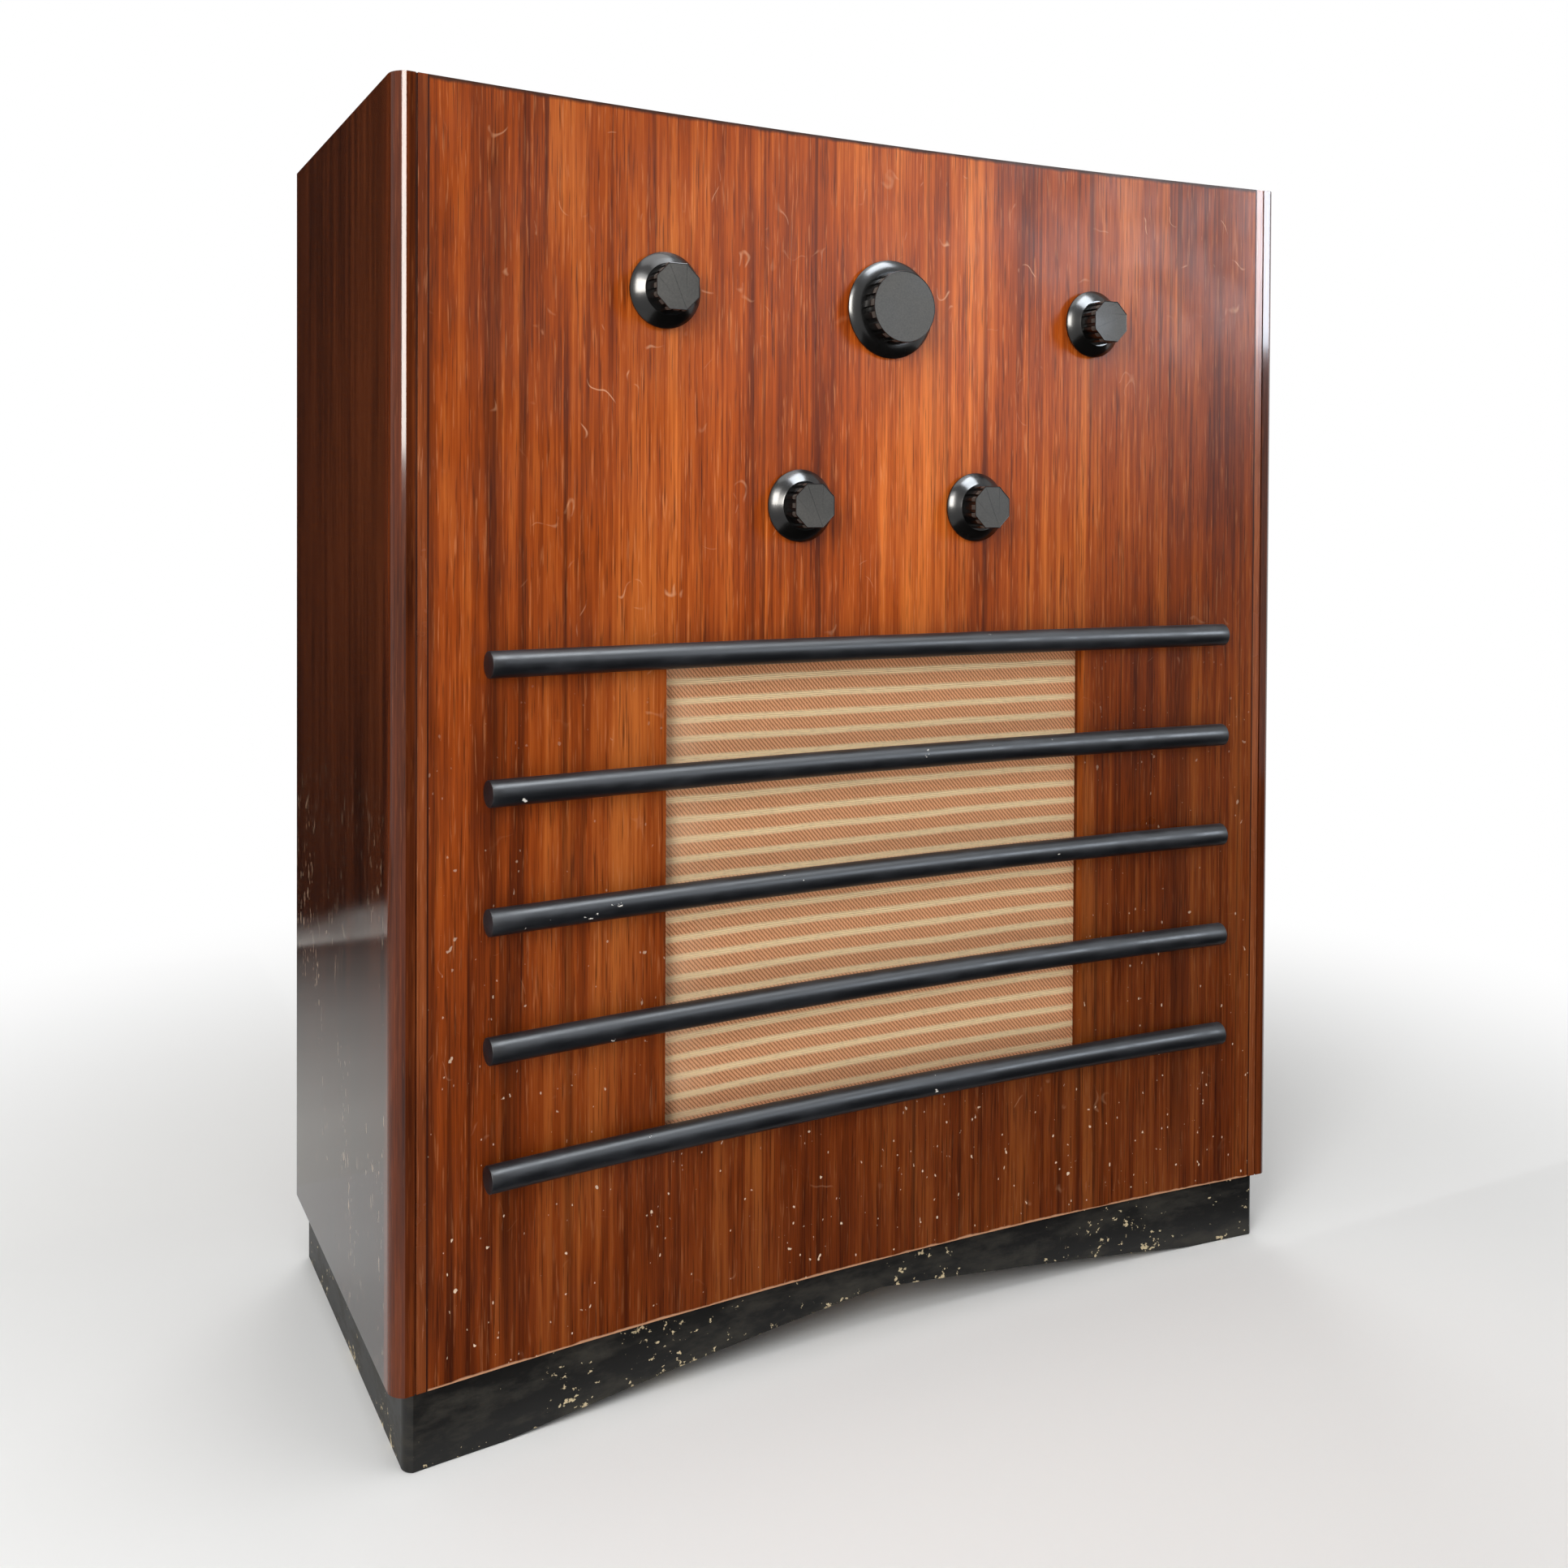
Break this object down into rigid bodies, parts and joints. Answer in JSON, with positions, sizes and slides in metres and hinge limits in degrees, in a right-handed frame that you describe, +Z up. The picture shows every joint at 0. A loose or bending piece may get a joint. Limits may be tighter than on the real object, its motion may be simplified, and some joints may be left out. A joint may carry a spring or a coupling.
{
  "type": "radiogram",
  "caption": "Floor-standing console with a concave veneered front, barred loudspeaker opening, round control knobs and a turntable under a hinged lid.",
  "frame": {"origin": "middle of the bounding box at floor level, under the plinth", "axes": "+Z up, the front faces -Y, +X to the right seen from the front"},
  "size_m": [0.84, 0.3866, 1],
  "materials": {
    "veneer": "glossy lacquer",
    "post_wood": "glossy lacquer",
    "lipping": "glossy lacquer",
    "inner_ply": "raw ply",
    "motor_board_wood": "satin lacquer",
    "black_wood": "black paint",
    "fibreboard": "matt",
    "cloth": "woven",
    "felt": "felt",
    "bakelite": "glossy",
    "brass": "satin",
    "bronze": "bronze lacquer",
    "steel": "satin",
    "vane_alloy": "satin",
    "black_metal": "satin",
    "dial_card": "printed",
    "pointer_red": "satin",
    "clear_glass": "clear",
    "valve_glass": "silvered",
    "cone_paper": "pressed"
  },
  "bodies": {
    "cabinet": {"arm_rest": "bronze", "back_cover": "fibreboard", "baffle_board": "inner_ply", "bottom_board": "inner_ply", "chassis": "steel", "chassis_shelf": "inner_ply", "coil_cans": "vane_alloy", "connector_panel": "bakelite", "control_plate": "steel", "corner_post_left": "post_wood", "corner_post_right": "post_wood", "dial_frame": "bronze", "dial_glass": "clear_glass", "dial_plate": "dial_card", "front_lippings": "lipping", "front_panel": "veneer", "gram_motor": "black_metal", "grille_cloth": "cloth", "grille_rod_1": "black_wood", "grille_rod_2": "black_wood", "grille_rod_3": "black_wood", "grille_rod_4": "black_wood", "grille_rod_5": "black_wood", "lid_hinge_fixed_leaves_and_pins": "brass", "mains_transformer": "black_metal", "motor_board": "motor_board_wood", "pickup_base": "bronze", "plinth_front": "black_wood", "plinth_left": "black_wood", "plinth_rear": "black_wood", "plinth_right": "black_wood", "rear_rail": "veneer", "rotary_switches": "black_metal", "side_left": "veneer", "side_right": "veneer", "smoothing_capacitor": "vane_alloy", "speaker_basket": "steel", "speaker_cone": "cone_paper", "speaker_magnet": "black_metal", "tuning_condenser_frame": "steel", "tuning_drive": "bakelite", "valves": "valve_glass", "volume_and_tone_controls": "black_metal", "wood_screws": "steel"},
    "lid": {"lid": "veneer", "lid_hinge_moving_leaves": "brass"},
    "volume_knob": {"knob_volume": "bakelite"},
    "tuning_knob": {"knob_tuning": "bakelite"},
    "tone_knob": {"knob_tone": "bakelite"},
    "waveband_knob": {"knob_waveband": "bakelite"},
    "gram_knob": {"knob_gram": "bakelite"},
    "dial_drive": {"tuning_condenser_rotor": "vane_alloy", "dial_pointer": "pointer_red"},
    "turntable": {"platter": "black_metal", "felt_mat": "felt", "record_spindle": "steel"},
    "pickup_turret": {"pickup_turret": "bronze"},
    "pickup_arm": {"pickup_arm": "bronze", "pickup_head": "bakelite"},
    "speed_lever": {"speed_lever": "steel"}
  },
  "joints": [
    {"name": "lid_hinge", "type": "hinge", "parent": "cabinet", "child": "lid", "pos_m": [0, 0.17173, 0.997], "axis": [-1, 0, 0], "range_deg": [0, 95]},
    {"name": "volume_turn", "type": "hinge", "parent": "cabinet", "child": "volume_knob", "pos_m": [-0.208, -0.16, 0.862], "axis": [0, 1, 0], "range_deg": [0, 270]},
    {"name": "tuning_turn", "type": "hinge", "parent": "cabinet", "child": "tuning_knob", "pos_m": [0, -0.16, 0.862], "axis": [0, 1, 0], "range_deg": [-540, 540]},
    {"name": "tone_turn", "type": "hinge", "parent": "cabinet", "child": "tone_knob", "pos_m": [0.208, -0.16, 0.862], "axis": [0, 1, 0], "range_deg": [0, 270]},
    {"name": "waveband_turn", "type": "hinge", "parent": "cabinet", "child": "waveband_knob", "pos_m": [-0.086, -0.16, 0.697], "axis": [0, 1, 0], "range_deg": [0, 90]},
    {"name": "gram_turn", "type": "hinge", "parent": "cabinet", "child": "gram_knob", "pos_m": [0.086, -0.16, 0.697], "axis": [0, 1, 0], "range_deg": [0, 60]},
    {"name": "dial_turn", "type": "hinge", "parent": "cabinet", "child": "dial_drive", "pos_m": [0.225, -0.05467, 0.85], "axis": [0, 0, 1], "range_deg": [-90, 90]},
    {"name": "turntable_spin", "type": "hinge", "parent": "cabinet", "child": "turntable", "pos_m": [-0.19, 0.01833, 0.92], "axis": [0, 0, -1], "continuous": true},
    {"name": "pickup_swing", "type": "hinge", "parent": "cabinet", "child": "pickup_turret", "pos_m": [0.012, 0.12733, 0.93], "axis": [0, 0, -1], "range_deg": [0, 48]},
    {"name": "pickup_lift", "type": "hinge", "parent": "pickup_turret", "child": "pickup_arm", "pos_m": [0.012, 0.12733, 0.947], "axis": [-1, 0, 0], "range_deg": [0, 6]},
    {"name": "speed_turn", "type": "hinge", "parent": "cabinet", "child": "speed_lever", "pos_m": [0.062, -0.11367, 0.9], "axis": [0, 0, 1], "range_deg": [0, 30]}
  ],
  "couplings": [
    {"joint": "dial_turn", "follows": "tuning_turn", "ratio": 0.16667}
  ]
}
